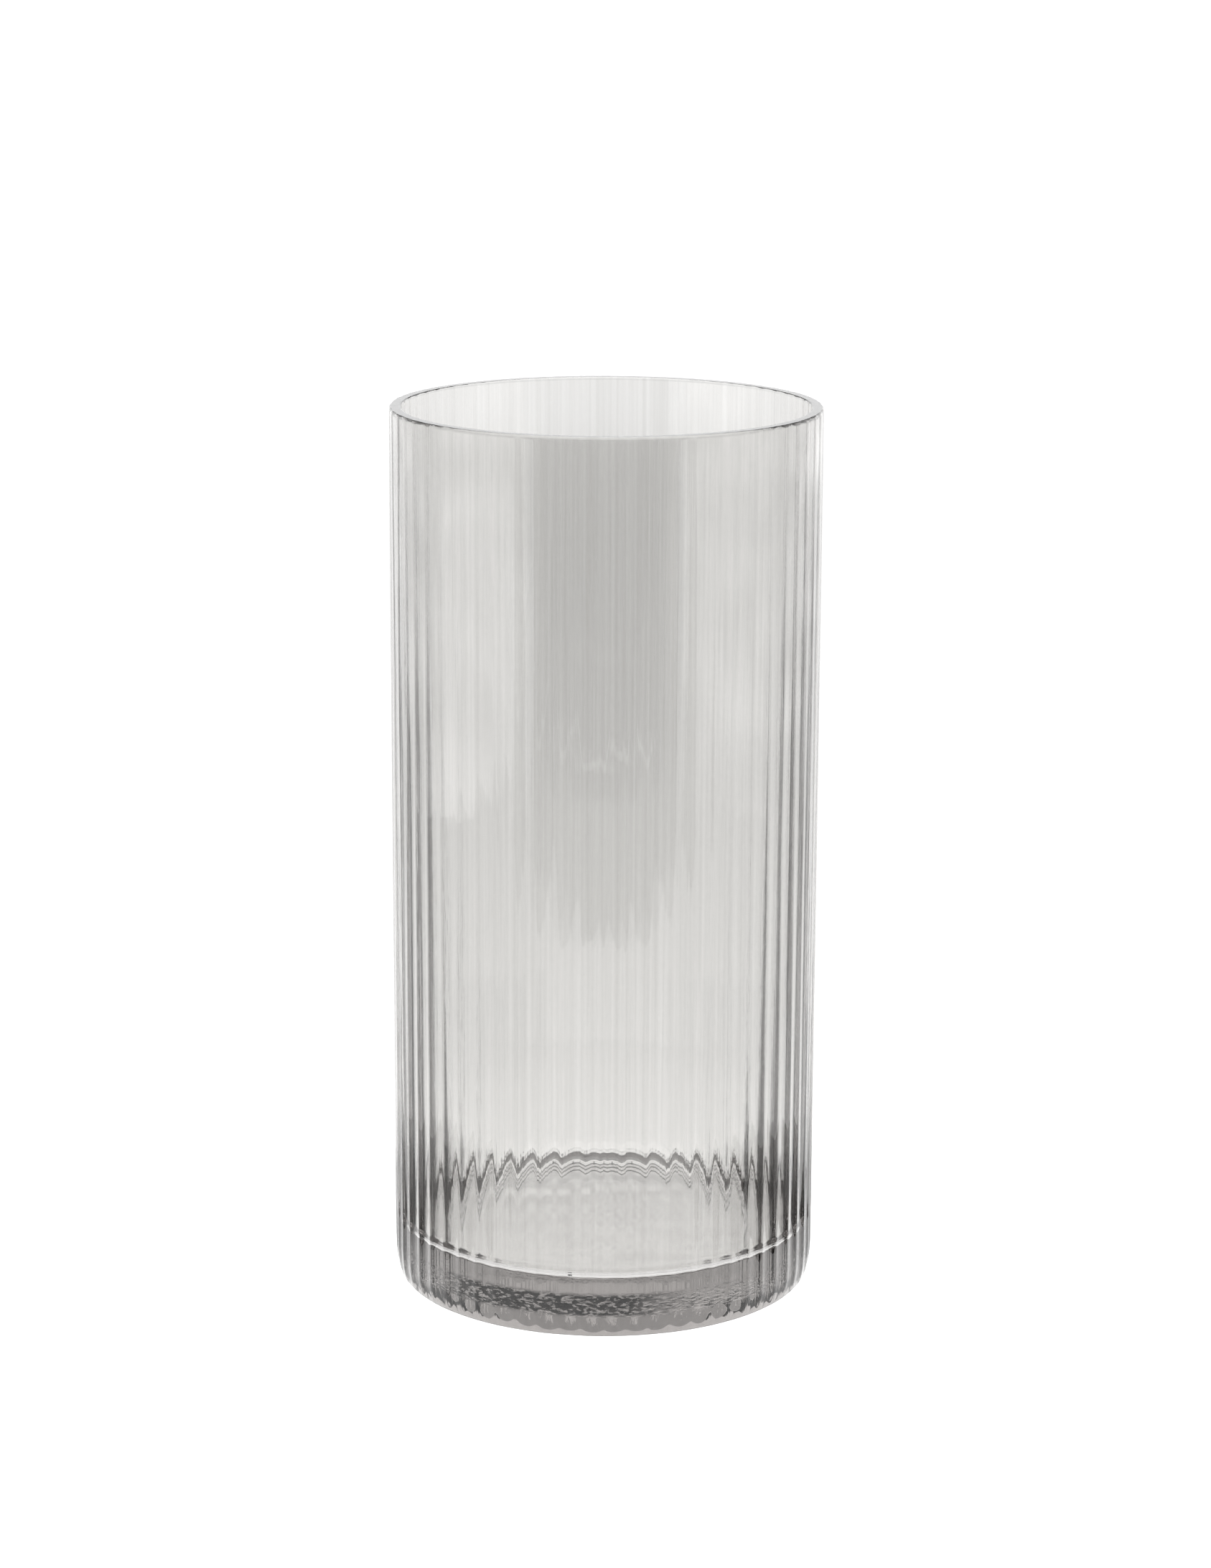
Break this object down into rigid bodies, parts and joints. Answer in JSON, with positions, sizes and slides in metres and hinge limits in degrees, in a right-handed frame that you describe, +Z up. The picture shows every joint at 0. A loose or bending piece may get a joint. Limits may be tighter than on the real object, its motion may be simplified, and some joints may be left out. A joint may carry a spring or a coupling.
{
  "type": "cylinder vase",
  "caption": "Straight cylinder vase of light smoke glass, fine vertical ribs outside, smooth inside, thick solid base with a rounded heel, flat polished rim.",
  "frame": {"origin": "centre of the flat face that the vase stands on", "axes": "+Z up along the vase's axis; a rib crest lies on each of the X and Y axes"},
  "size_m": [0.12, 0.12, 0.25],
  "materials": {
    "smoke_glass": "clear light smoke-grey glass, fire-polished outside and inside, cut and polished on the rim, with a few seeds and faint ripples"
  },
  "bodies": {
    "root": {"base": "smoke_glass", "ribbed_wall": "smoke_glass", "rim": "smoke_glass"}
  },
  "joints": []
}
